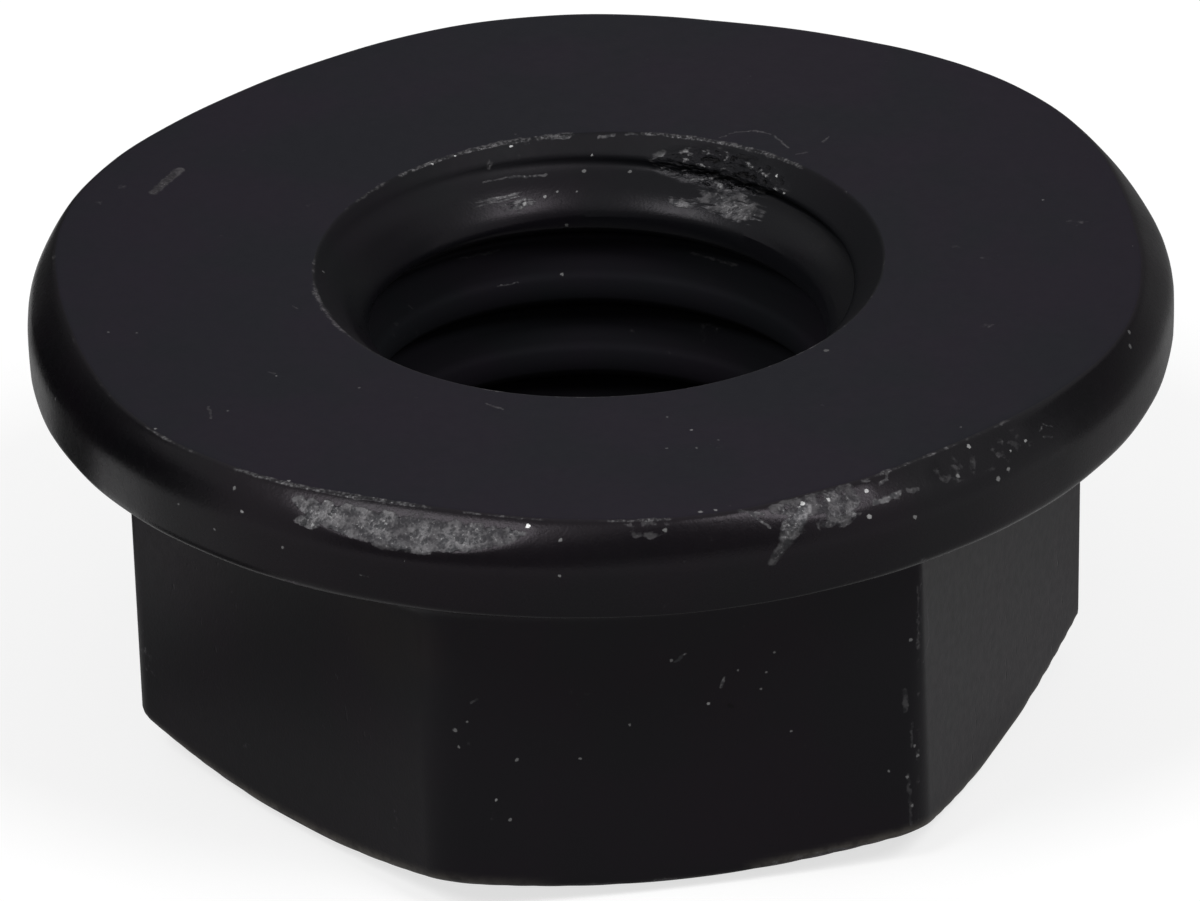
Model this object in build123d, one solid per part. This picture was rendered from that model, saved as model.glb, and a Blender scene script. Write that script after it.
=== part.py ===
import math
import os

from build123d import *

os.makedirs("parts", exist_ok=True)

# A hexagon flange nut, cold forged in one piece and tapped right through.
# It stands on its hexagon end with the bearing face up. +Z runs along the thread,
# the origin is the middle of the hexagon end face, and two hexagon corners lie on the X axis.
# Lengths are in millimetres and angles in degrees.

nut_height = 7.6

# Thread hole: a plain bore at the crests of the thread, countersunk at both ends
thread_diameter = 8.0
thread_depth = 0.53
countersink_diameter = 8.78
countersink_angle = 90.0

# Hexagon: its width is across the flats, where they leave the flange
wrench_width = 13.0
hexagon_draft = 1.65
hexagon_corner_radius = 0.25
end_face_diameter = 11.8
end_chamfer_angle = 21.0

# Flange: depths are measured down from the bearing face, and setbacks in from the widest ring
flange_diameter = 17.7
widest_depth = 0.8
bearing_face_setback = 0.42
bearing_face_lobe = 0.11
rim_thickness = 1.5
rim_lower_setback = 0.08
rim_lower_radius = 0.2
underside_slope = 24.0
underside_fillet = 0.6

# Worked out from the sizes above
hexagon_sides = 6
rim_spans = 9
half_side_angle = math.radians(180 / hexagon_sides)
bore_diameter = thread_diameter - 2 * thread_depth
countersink_slope = math.tan(math.radians(countersink_angle / 2))
countersink_depth = (countersink_diameter - bore_diameter) / 2 / countersink_slope
underside_rise = math.tan(math.radians(underside_slope))
flange_radius = flange_diameter / 2
rim_lower_height = nut_height - rim_thickness
rim_lower_overhang = flange_radius - rim_lower_setback - wrench_width / 2
flat_top_height = rim_lower_height - rim_lower_overhang * underside_rise


def turned(points):
    """The solid of revolution about Z whose half section has these corners, as radius and height.

    The half section is drawn through the middle of a flat, so that its seam stays off the corners.
    """
    middle_of_flat = Plane.XZ.rotated((0, 0, math.degrees(half_side_angle)))
    with BuildPart() as solid:
        with BuildSketch(middle_of_flat):
            with BuildLine():
                Polyline(*points, close=True)
            make_face()
        revolve(axis=Axis.Z)
    return solid.part


def corner_distance(height):
    """From the axis to the sharp corner of the hexagon at a height, where the draft has narrowed it."""
    width = wrench_width + 2 * (height - flat_top_height) * math.tan(math.radians(hexagon_draft))
    return width / 2 / math.cos(half_side_angle)


def hexagon_outline(height):
    """The hexagon with its rounded corners, at a height."""
    with BuildSketch(Plane.XY.offset(height)) as outline:
        RegularPolygon(corner_distance(height), hexagon_sides)
        fillet(outline.vertices(), hexagon_corner_radius)
    return outline.sketch


def hexagon_body():
    """Drafted flats, chamfered all round at the end, so that each flat ends in an arc."""
    body = loft([hexagon_outline(0), hexagon_outline(rim_lower_height)], ruled=True)
    end_radius = end_face_diameter / 2
    chamfer_height = (flange_radius - end_radius) * math.tan(math.radians(end_chamfer_angle))
    chamfered_bar = turned(
        [
            (0, 0),
            (end_radius, 0),
            (flange_radius, chamfer_height),
            (flange_radius, nut_height),
            (0, nut_height),
        ]
    )
    return body & chamfered_bar


def rim_section(depth):
    """The rim's outline at a depth below the bearing face.

    The radius falls away from the widest ring by the square of the distance, above it and below it.
    Above it the outline also grows lobes over the flats, which are full at the bearing face.
    """
    if depth < widest_depth:
        share = (1 - depth / widest_depth) ** 2
        radius = flange_radius - share * bearing_face_setback
        lobe = share * bearing_face_lobe
    else:
        share = ((depth - widest_depth) / (rim_thickness - widest_depth)) ** 2
        radius = flange_radius - share * rim_lower_setback
        lobe = 0
    points_round = 4 * hexagon_sides
    points = []
    for step in range(points_round):
        angle = 2 * math.pi * step / points_round
        reach = radius - lobe * math.cos(hexagon_sides * angle)
        points.append((reach * math.cos(angle), reach * math.sin(angle), nut_height - depth))
    return Face(Wire(Spline(*points, periodic=True)))


def flange():
    """The disc under the bearing face: a lofted rim, trimmed below by the cone of its underside."""
    spacing = (nut_height - flat_top_height) / rim_spans
    blank = loft([rim_section(span * spacing) for span in range(rim_spans, -1, -1)])
    cone_radius = flange_radius - rim_lower_setback
    outside = flange_radius + rim_thickness
    above_underside = turned(
        [
            (0, rim_lower_height - cone_radius * underside_rise),
            (outside, rim_lower_height + (outside - cone_radius) * underside_rise),
            (outside, nut_height + rim_thickness),
            (0, nut_height + rim_thickness),
        ]
    )
    return blank & above_underside


def thread_hole():
    """What the drill and the two countersinks take out."""
    bore_radius = bore_diameter / 2
    mouth_radius = countersink_diameter / 2
    return turned(
        [
            (0, 0),
            (mouth_radius, 0),
            (bore_radius, countersink_depth),
            (bore_radius, nut_height - countersink_depth),
            (mouth_radius, nut_height),
            (0, nut_height),
        ]
    )


def flange_nut():
    """The forged blank with its soft inner and outer edges, then the thread hole through it."""
    blank = hexagon_body() + flange()
    reach = 0.05
    corner_radius = corner_distance(flat_top_height)
    corner_overhang = flange_radius - rim_lower_setback - corner_radius
    fillet_room = corner_overhang / 2
    root_top_height = flat_top_height + (corner_radius - wrench_width / 2) * underside_rise
    root = blank.edges().filter_by_position(Axis.Z, flat_top_height - reach, root_top_height + reach)
    blank = fillet(root, min(underside_fillet, fillet_room))
    low_rim = blank.edges().filter_by_position(Axis.Z, rim_lower_height - reach, rim_lower_height + reach)
    blank = fillet(low_rim.sort_by(SortBy.LENGTH)[-1], min(rim_lower_radius, fillet_room))
    return blank - thread_hole()


nut = flange_nut()
export_step(nut, "parts/flange_nut.step")
print(f"flange nut: {nut.volume:.1f} mm3, bore {bore_diameter:.2f} mm, countersink {countersink_depth:.2f} mm deep")
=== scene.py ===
import math

import bpy
import numpy as np
from mathutils import Matrix, Vector


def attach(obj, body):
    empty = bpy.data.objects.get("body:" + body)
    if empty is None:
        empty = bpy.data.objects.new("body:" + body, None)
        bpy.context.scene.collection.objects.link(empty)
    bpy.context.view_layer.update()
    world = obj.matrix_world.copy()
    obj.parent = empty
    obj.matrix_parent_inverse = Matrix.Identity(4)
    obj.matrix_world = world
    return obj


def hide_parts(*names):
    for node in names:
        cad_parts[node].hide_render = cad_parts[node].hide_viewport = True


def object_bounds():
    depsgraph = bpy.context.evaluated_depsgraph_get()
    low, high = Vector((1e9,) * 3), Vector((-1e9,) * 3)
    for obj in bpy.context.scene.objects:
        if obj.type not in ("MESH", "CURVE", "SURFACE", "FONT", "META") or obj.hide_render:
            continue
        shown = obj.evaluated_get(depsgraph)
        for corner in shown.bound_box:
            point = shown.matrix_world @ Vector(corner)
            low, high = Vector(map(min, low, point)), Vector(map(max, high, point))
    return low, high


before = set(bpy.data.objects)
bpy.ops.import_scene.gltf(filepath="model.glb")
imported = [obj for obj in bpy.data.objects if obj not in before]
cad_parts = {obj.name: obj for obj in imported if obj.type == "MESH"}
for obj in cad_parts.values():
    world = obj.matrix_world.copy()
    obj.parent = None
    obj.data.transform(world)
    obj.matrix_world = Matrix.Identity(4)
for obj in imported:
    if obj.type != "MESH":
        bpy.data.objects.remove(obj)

# A blackened hexagon flange nut that stands on its hexagon end, with the bearing face up.
# Sizes in the dictionaries are millimetres and degrees, and the meshes are in metres.
# Places around the nut are angles from the X axis, where one corner of the hexagon is.

mm = 0.001
insideSolid = 0.002                # the mesh stays this far inside the solid
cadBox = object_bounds()
nutHeight = cadBox[1].z / mm
flangeRadius = cadBox[1].x / mm - insideSolid


nutSizes = {
    "boreEdge": 4.39,
    "boreEdgeRound": 0.04,
    "boreCrease": 0.24,
    "faceSetback": 0.42,           # bearing face edge, in from the widest ring
    "faceLobe": 0.11,              # how far it reaches out over the middle of each flat
    "faceBumps": (                 # more reach: angle, around, size
        (22, 27, 0.075),
        (52, 16, 0.06),
        (163, 20, 0.03),
    ),
    "faceEdgeRound": 0.07,
    "widestDepth": 0.77,
    "rimThickness": 1.5,
    "rimLowerSetback": 0.03,
    "rimLowerRound": 0.15,
    "rimLowerSharp": (268, 40, 0.025),    # where that edge is sharper: angle, around, its rounding there
    "undersideSlope": 24,
    "rootFillet": 0.65,
    "hexagonWidth": 13,            # across the flats, where they leave the flange
    "hexagonTop": 5.09,
    "hexagonDraft": 1.1,
    "cornerRoundTop": (0.2, 0.3, 0.5, 0.25, 0.9, 0.13),    # corner by corner, from the X axis on
    "cornerRoundEnd": (0.2, 0.4, 0.6, 0.5, 0.9, 0.75),
    "lean": ((0.035, 0), (-0.04, 0.01)),    # how far the hexagon sits off the axis, at its top and its end
    "endFaceRadius": 5.87,
    "chamferAngle": 21,
    "chamferRound": (0.25, 0.12, 0.15, 0.5, 0.25, 0.15),    # over the chamfer's edge, corner by corner
    "chamferRoundReach": 25,       # degrees over which that eases out beside a corner
    "endEdgeRound": 0.06,
    "rimWaves": (                  # how many around, start in radians, size
        (2, 1.05, 0.011),
        (5, 0.6, 0.004),
        (9, 2.1, 0.005),
        (17, 4, 0.004),
        (31, 1.3, 0.003),
    ),
    "bevels": (                    # where knocks flattened the rim's upper edge: angle, half width, depth
        (239.5, 13, 0.047),
        (282.3, 6.3, 0.045),
        (262, 5, 0.012),
        (303, 5, 0.006),
    ),
    "bevelRound": 0.012,
    "bevelClear": 6,               # how many times faster a bevel's cone clears the rim past its ends
    "torn": (52, 19, 0.34, 0.3, 0.03),    # ragged part of the bore: angle, around, depth, reach down, size
}

# Rows and columns of the mesh. Most rows are rings, from the bore's top over the outside to its other end.
nutMesh = {
    "columns": 552,                # steps around the nut
    "gather": 0.5,                 # how much closer together they are at the hexagon's corners
    "roundRows": 5,                # over each rounded edge
    "endRoundRows": 4,             # and at the hexagon's end
    "sinkStep": 0.05,              # from row to row down the countersink
    "faceEnds": (0.1, 0.05),       # how far the bearing face's rows stay from its edges
    "faceRows": (0, 0.1, 0.3, 0.5, 0.7, 0.9, 1),    # shares of the way out between them
    "rimRows": (0.5, 14, 11),      # a depth, and the rows down to it and below it
    "sideRows": ((5.9, 1), (5.72, 14), (4.7, 10), (0.95, 14)),    # steps from each height down to the next
    "endFaceRows": (5.6, 5.2, 4.8),    # radii
    "threadTop": 1,                # depth at which the rows start to climb with the thread
    "threadEnd": 0.08,             # height at which they stop
    "weld": 1e-6,                  # points closer than this become one
}


def softMax(a, b, width):
    # the larger of two heights, with the crease between them rounded over that width
    return np.maximum(a, b) + np.maximum(width - np.abs(a - b), 0) ** 2 / (4 * width)


def softMin(a, b, width):
    return -softMax(-a, -b, width)


def bend(first, corner, last, rows):
    # a curve that leaves first towards corner and arrives at last from it: (1-t)^2, 2t(1-t), t^2 shares
    t = np.linspace(0, 1, rows)[:, None, None]
    return (1 - t) ** 2 * first + 2 * t * (1 - t) * corner + t ** 2 * last


def columnAngles(m):
    # even steps, drawn towards the six corners by a sine of six waves a turn
    even = np.arange(m["columns"]) / m["columns"] * 2 * np.pi
    return even - m["gather"] / 6 * np.sin(6 * even)


def turnFrom(angle, degrees):
    # radians from a direction, between minus and plus half a turn
    return (angle - math.radians(degrees) + np.pi) % (2 * np.pi) - np.pi


def cornerTurn(angle):
    # radians from the nearest corner of the hexagon
    return (angle + np.pi / 6) % (np.pi / 3) - np.pi / 6


def byCorner(values, angle):
    # the value of the nearest corner
    return np.array(values)[np.round(angle / (np.pi / 3)).astype(int) % 6]


def forgedRadius(s, angle, depth):
    # falls off from the widest ring by the square of the distance, more between the lobes at the top
    above = np.clip(1 - depth / s["widestDepth"], 0, None) ** 2
    below = np.clip((depth - s["widestDepth"]) / (s["rimThickness"] - s["widestDepth"]), 0, None) ** 2
    lobe = s["faceLobe"] * np.cos(6 * angle)
    for turn, reach, size in s["faceBumps"]:
        lobe = lobe - size * np.clip(1 - (turnFrom(angle, turn) / math.radians(reach)) ** 2, 0, None)
    waves = sum(size * (np.sin(count * angle + start) - 1) for count, start, size in s["rimWaves"])
    return flangeRadius - above * (s["faceSetback"] + lobe) - below * s["rimLowerSetback"] + waves


def bevelRadius(s, bevel, angle, depth):
    # a 45 degree cone that comes in by its depth at its middle and by less around it, by the square
    middle, half, cut = bevel
    fall = 1 - (turnFrom(angle, middle) / math.radians(half)) ** 2
    return forgedRadius(s, angle, 0) + depth - cut * np.where(fall < 0, s["bevelClear"] * fall, fall)


def rimRadius(s, angle, depth):
    radius = forgedRadius(s, angle, depth)
    for bevel in s["bevels"]:
        radius = softMin(radius, bevelRadius(s, bevel, angle, depth), s["bevelRound"])
    return radius


def hexagonRadius(s, angle, height):
    # a flat is apothem / cos(angle from its middle); an arc tangent to both flats rounds each corner
    fall = s["hexagonTop"] - height
    apothem = s["hexagonWidth"] / 2 - fall * math.tan(math.radians(s["hexagonDraft"]))
    share = np.clip(fall / s["hexagonTop"], 0, 1)
    top, end = byCorner(s["cornerRoundTop"], angle), byCorner(s["cornerRoundEnd"], angle)
    rounding = top + (end - top) * share
    fromCorner = cornerTurn(angle)
    flat = apothem / np.cos(np.pi / 6 - np.abs(fromCorner))
    centre = (apothem - rounding) / math.cos(math.pi / 6)
    across = centre * np.sin(fromCorner)
    arc = centre * np.cos(fromCorner) + np.sqrt(np.maximum(rounding ** 2 - across ** 2, 0))
    reach = np.arctan2(rounding / 2, centre + rounding * math.cos(math.pi / 6))
    shiftX, shiftY = (top + (end - top) * share for top, end in zip(*s["lean"]))
    return np.where(np.abs(fromCorner) < reach, arc, flat) + shiftX * np.cos(angle) + shiftY * np.sin(angle)


threadSizes = {
    "pitch": 1.25,
    "rootRadius": 4.12,
    "crestRadius": 3.47,
    "rootWidth": 0.1,
    "crestWidth": 0.5,
    "crestRound": 0.38,
    "rootRound": 0.12,
    "firstRootDepth": 0.385,       # below the bearing face, where the line of sight crosses the back wall
    "firstRootAngle": 80.8,
    "rowShares": (0.0, 0.05, 0.14, 0.27, 0.33, 0.38, 0.5, 0.62, 0.67, 0.73, 0.86, 0.95),
}


def threadRadius(t, turn):
    # one groove a turn: root at 0, straight flanks, crest at a half, corners rounded
    span = np.abs((turn + 0.5) % 1 - 0.5) * t["pitch"]
    flank = (t["pitch"] - t["rootWidth"] - t["crestWidth"]) / 2
    slope = (t["rootRadius"] - t["crestRadius"]) / flank
    wall = t["rootRadius"] - (span - t["rootWidth"] / 2) * slope
    wall = softMax(wall, t["crestRadius"] + 0 * wall, t["crestRound"])
    return softMin(wall, t["rootRadius"] + 0 * wall, t["rootRound"])


def threadTurn(t, angle, height):
    # how many pitches a point is above the groove, which climbs one pitch a turn
    around = (angle - math.radians(t["firstRootAngle"])) / (2 * np.pi)
    return (height - (nutHeight - t["firstRootDepth"])) / t["pitch"] - around


def boreRadius(s, t, angle, height):
    # whichever was cut deepest: the thread or one of the two countersinks
    top = s["boreEdge"] - (nutHeight - height)
    end = s["boreEdge"] - height
    thread = threadRadius(t, threadTurn(t, angle, height))
    return softMax(thread, np.maximum(top, end), s["boreCrease"]) + tornRelief(s, angle, nutHeight - height)


def tornShare(s, angle, depth):
    # 1 in the middle of the ragged part, and falling to 0 around it by the square
    turn, reach, middle, down, _ = s["torn"]
    around = turnFrom(angle, turn) / math.radians(reach)
    return np.clip(1 - around ** 2 - ((depth - middle) / down) ** 2, 0, 1)


def tornRelief(s, angle, depth):
    # two crossed pairs of sine waves, a quarter of a millimetre long
    waves = np.sin(97 * angle + 9 * depth) * np.sin(24 * depth + 41 * angle) + np.sin(61 * angle - 31 * depth)
    return s["torn"][-1] * tornShare(s, angle, depth) * np.clip(waves, -1, 1)


def lowerRound(s, angle):
    # the rounding under the rim, which falls by the square of a cosine towards where it is sharper
    middle, reach, sharper = s["rimLowerSharp"]
    turn = np.clip(turnFrom(angle, middle) / math.radians(reach), -1, 1) * np.pi / 2
    return s["rimLowerRound"] + (sharper - s["rimLowerRound"]) * np.cos(turn) ** 2


def outsideRows(s, t, m, angle, firstHeight, lastHeight):
    # rows of (radius, height) from the bore's top, over the face and the rim, down to the bore's other end
    def ring(radius, height):
        return np.stack([radius + 0 * angle, height + 0 * angle], -1)[None]

    def rings(radius, height):
        height = np.asarray(height, float)
        radius, height = np.broadcast_arrays(radius, height.reshape(len(height), -1) + 0 * angle)
        return np.stack([radius, height], -1)

    blocks = []
    # countersink, in level rows
    boreEdge, edge = s["boreEdge"], s["boreEdgeRound"]
    heights = np.arange(firstHeight, nutHeight - edge * 1.5, m["sinkStep"])
    blocks.append(rings(boreRadius(s, t, angle, heights[:, None]), heights))
    blocks.append(bend(ring(boreEdge - edge, nutHeight - edge), ring(boreEdge, nutHeight),
                       ring(boreEdge + edge, nutHeight), m["roundRows"]))
    # bearing face, out to its lobed edge
    faceEdge, start = rimRadius(s, angle, 0), s["faceEdgeRound"]
    inner = boreEdge + m["faceEnds"][0]
    share = np.array(m["faceRows"])[:, None]
    radius = inner + (faceEdge - start - m["faceEnds"][1] - inner) * share
    blocks.append(rings(radius, np.full(len(share), nutHeight)))
    # rim, from the face edge to the lower edge
    blocks.append(bend(ring(faceEdge - start, nutHeight), ring(faceEdge, nutHeight),
                       ring(rimRadius(s, angle, start), nutHeight - start), m["roundRows"]))
    turnIn = lowerRound(s, angle)
    last = s["rimThickness"] - turnIn
    middle, above, below = m["rimRows"]
    depth = np.concatenate([np.linspace(start + 0 * angle, middle + 0 * angle, above)[1:],
                            np.linspace(middle + 0 * angle, last, below)[1:-1]])
    blocks.append(rings(rimRadius(s, angle, depth), nutHeight - depth))
    slope = math.tan(math.radians(s["undersideSlope"]))
    lowerRadius = rimRadius(s, angle, s["rimThickness"])
    lowerHeight = nutHeight - s["rimThickness"]
    blocks.append(bend(ring(rimRadius(s, angle, last), nutHeight - last), ring(lowerRadius, lowerHeight),
                       ring(lowerRadius - turnIn, lowerHeight - turnIn * slope), m["roundRows"]))
    # underside cone, its root fillet, and the flats down to the chamfered end
    endEdge, lift = s["endFaceRadius"], s["endEdgeRound"]
    stops = m["sideRows"] + ((lift, 1), (lift, 1))
    heights = np.concatenate([np.linspace(high, low, count, endpoint=False)
                              for (high, count), (low, _) in zip(stops, stops[1:])])
    h = heights[:, None]
    cone = lowerRadius - (lowerHeight - h) / slope
    side = softMax(hexagonRadius(s, angle, h), cone, s["rootFillet"])
    steep = math.tan(math.radians(s["chamferAngle"]))
    # the chamfer's edge is softer at the worn corners, and that eases out beside them
    beside = np.abs(turnFrom(6 * angle, 0)) / 6 / math.radians(s["chamferRoundReach"])
    least = min(s["chamferRound"])
    width = least + (byCorner(s["chamferRound"], angle) - least) * np.clip(1 - beside, 0, 1) ** 2
    blocks.append(rings(softMin(side, endEdge + h / steep, width), heights))
    # end face and the rows that lead into the other countersink
    blocks.append(bend(ring(endEdge + lift / steep, lift), ring(endEdge, 0),
                       ring(endEdge - 2 * lift, 0), m["endRoundRows"])[1:])
    blocks.append(rings(np.array(m["endFaceRows"])[:, None], np.zeros(len(m["endFaceRows"]))))
    blocks.append(bend(ring(boreEdge + edge, 0), ring(boreEdge, 0), ring(boreEdge - edge, edge),
                       m["endRoundRows"]))
    blocks.append(ring(boreRadius(s, t, angle, lastHeight), lastHeight))
    return np.concatenate(blocks)


def threadRows(s, t, angle, lowest, highest):
    # rows that climb with the groove, cut off level at both ends
    pitch = t["pitch"]
    count = math.ceil((highest - lowest) / pitch) + 2
    turns = (np.arange(count)[:, None] + np.array(t["rowShares"])[None]).ravel()
    start = nutHeight - t["firstRootDepth"] - math.radians(t["firstRootAngle"]) / (2 * np.pi) * pitch
    start -= math.ceil((start - lowest) / pitch + 1) * pitch
    height = start + turns[:, None] * pitch + angle / (2 * np.pi) * pitch
    height = np.clip(height, lowest, highest)
    return np.stack([boreRadius(s, t, angle, height), height], -1)


def placed(rows, angle):
    radius, height = rows[..., 0], rows[..., 1]
    return np.stack([radius * np.cos(angle), radius * np.sin(angle), height], -1)


def gridFaces(rows, columns, first, seamShift=0):
    # four corners of each cell; the last column meets the first one, seamShift rows further on
    number = first + np.arange(rows * columns).reshape(rows, columns)
    here = number[:, :-1]
    nextOne = number[:, 1:]
    cells = np.stack([here[:-1], here[1:], nextOne[1:], nextOne[:-1]], -1).reshape(-1, 4)
    a = number[:rows - seamShift, -1]
    b = number[seamShift:, 0]
    seam = np.stack([a[:-1], a[1:], b[1:], b[:-1]], -1)
    return np.concatenate([cells, seam])


def welded(points, cells):
    # points in the same place become one, and a cell that lost a corner becomes a triangle or goes
    keys = np.round(points / nutMesh["weld"]).astype(np.int64)
    _, first, number = np.unique(keys, axis=0, return_index=True, return_inverse=True)
    points, cells = points[first], number.reshape(-1)[cells]
    same = cells == np.roll(cells, -1, axis=1)
    quads = cells[same.sum(1) == 0]
    thin = same.sum(1) == 1
    corners = cells[thin]
    keep = ~same[thin]
    triangles = corners[keep].reshape(-1, 3)
    return points, quads, triangles


def meshObject(name, points, quads, triangles):
    mesh = bpy.data.meshes.new(name)
    loops = np.concatenate([quads.ravel(), triangles.ravel()]).astype(np.int32)
    totals = np.concatenate([np.full(len(quads), 4), np.full(len(triangles), 3)]).astype(np.int32)
    starts = np.concatenate([[0], np.cumsum(totals)[:-1]]).astype(np.int32)
    mesh.vertices.add(len(points))
    mesh.vertices.foreach_set("co", (points * mm).astype(np.float32).ravel())
    mesh.loops.add(len(loops))
    mesh.loops.foreach_set("vertex_index", loops)
    mesh.polygons.add(len(totals))
    mesh.polygons.foreach_set("loop_start", starts)
    mesh.polygons.foreach_set("loop_total", totals)
    mesh.polygons.foreach_set("use_smooth", np.ones(len(totals), bool))
    mesh.update(calc_edges=True)
    mesh.validate()
    obj = bpy.data.objects.new(name, mesh)
    bpy.context.scene.collection.objects.link(obj)
    return obj


def faceVectors(points, cells):
    # half the cross product of a quad's diagonals or of a triangle's sides: as long as the cell is large
    a, b, c, d = (points[cells[:, k]] for k in (0, 1, 2, -1))
    return np.cross(c - a, d - b) / 2 if cells.shape[1] == 4 else np.cross(b - a, c - a) / 2


def smoothNormals(points, quads, triangles):
    # each vertex takes the sum of its faces' vectors, so a wide flat beside a narrow round stays flat
    total = np.zeros_like(points)
    for cells in (quads, triangles):
        vectors = faceVectors(points, cells)
        for k in range(cells.shape[1]):
            for axis in range(3):
                total[:, axis] += np.bincount(cells[:, k], vectors[:, axis], len(points))
    return total / np.linalg.norm(total, axis=1, keepdims=True)


def makeNut():
    s, t, m = nutSizes, threadSizes, nutMesh
    angle = columnAngles(m)
    highest, lowest = nutHeight - m["threadTop"], m["threadEnd"]
    outside = outsideRows(s, t, m, angle, highest, lowest)
    inside = threadRows(s, t, angle, lowest, highest)
    columns = len(angle)
    cells = np.concatenate([gridFaces(len(outside), columns, 0),
                            gridFaces(len(inside), columns, len(outside) * columns, len(t["rowShares"]))])
    points = placed(np.concatenate([outside, inside]), angle).reshape(-1, 3)
    points, quads, triangles = welded(points, cells)
    nut = meshObject("hexagonFlangeNut", points, quads, triangles)
    normals = smoothNormals(points, quads, triangles)
    nut.data.normals_split_custom_set_from_vertices(normals.tolist())
    print("nut:", len(points), "points,", 2 * len(quads) + len(triangles), "triangles")
    return nut


# Where the nut was rubbed. A place is an angle, a distance from the axis and a depth under the bearing face.
wear = {
    "edges": {                     # how wide each rubbed edge is, and how much of it is rubbed
        "face": (0.03, 0.36),
        "bore": (0.035, 0.5),
        "rim": (0.035, 0),
        "corner": (0.12, 0),
        "end": (0.07, 0.72),
    },
    "rubs": (                      # more of it: edge, angle, reach in degrees, width, share
        ("face", 231, 17, 0.042, 1.35),
        ("face", 209, 8, 0.035, 0.75),
        ("face", 250, 8, 0.03, 0.8),
        ("face", 264, 7, 0.04, 0.66),
        ("face", 296, 8, 0.04, 0.95),
        ("face", 306, 9, 0.045, 0.66),
        ("bore", 189, 17, 0.055, 1.2),
        ("bore", 109, 20, 0.04, 1.15),
        ("bore", 54, 28, 0.045, 1.2),
        ("bore", 88, 8, 0.05, 0.66),
        ("bore", 310, 14, 0.04, 0.7),
        ("bore", 255, 50, 0.035, 0.64),
        ("rim", 211, 16, 0.045, 0.8),
        ("rim", 227.5, 0.9, 0.055, 1.5),
        ("rim", 305, 14, 0.045, 0.66),
        ("rim", 100, 70, 0.035, 0.5),
        ("corner", 300, 6, 0.06, 0.42),
        ("end", 205, 45, 0.075, 0.95),
        ("end", 290, 14, 0.1, 0.95),
    ),
    "cornerTop": 2.5,              # depth at which the hexagon's corners start
    "bevels": (                    # from and to which angle each is rubbed, cover at its top and below, level
        (226, 253, 0.1, 0.95, 0.9),
        (276.8, 288, 0.6, 0.8, 0.62),
        (257, 267.5, 0.2, 0.4, 0.45),
        (296, 313, 0.1, 0.3, 0.4),
    ),
    "bevelTop": (0.07, 0.13),      # depth where the cover at the top ends, and how far down it changes
    "bevelCut": 0.008,             # how deep a knock is where its rub is full
    "bevelEnds": 1,                # degrees over which a rub fades out at its ends
    "bevelNear": 0.03,             # how close to the bevel's cone the surface is
    "patchFlat": 1.4,              # over 1, so that a patch is full for a while around its middle
    "patches": (                   # angle, radius, depth, reach around, reach across, cover, level
        (229.4, 8.72, 0.38, 0.28, 0.12, 1, 0.95),
        (279.6, 8.7, 0.33, 0.24, 0.2, 0.9, 0.95),
        (284.5, 8.68, 0.38, 0.5, 0.17, 0.66, 0.8),
        (265, 8.57, 0.12, 0.5, 0.2, 0.42, 0.42),
        (306, 8.66, 0.3, 0.9, 0.2, 0.32, 0.4),
        (47.5, 3.8, 0.7, 0.8, 0.32, 0.66, 0.95),
        (59.5, 3.68, 0.77, 0.35, 0.14, 0.55, 0.8),
        (99.5, 3.66, 0.74, 0.4, 0.1, 0.62, 0.85),
        (104.5, 3.78, 0.62, 0.7, 0.09, 0.52, 0.8),
    ),
    "paintedEdgeReflection": (                     # painted reflection along the hexagon's lower edge: angle, around, share
        (205, 48, 1),
        (293, 15, 1),
        (330, 30, 0.5),
        (75, 100, 0.8),
    ),
    "paintedEdgeReflectionReach": 0.22,            # and how far up from the hexagon's lower edge
    "crestPaintedLight": 2.4,              # painted light: how much paler the thread's crests are painted, and its roots
    "rootPaintedLight": 4,
    "stains": (                    # browner oxide: angle, radius, depth, reach
        (229.5, 6.87, 3.1, 1),
        (236, 7.25, 3, 0.7),
    ),
}

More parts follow.
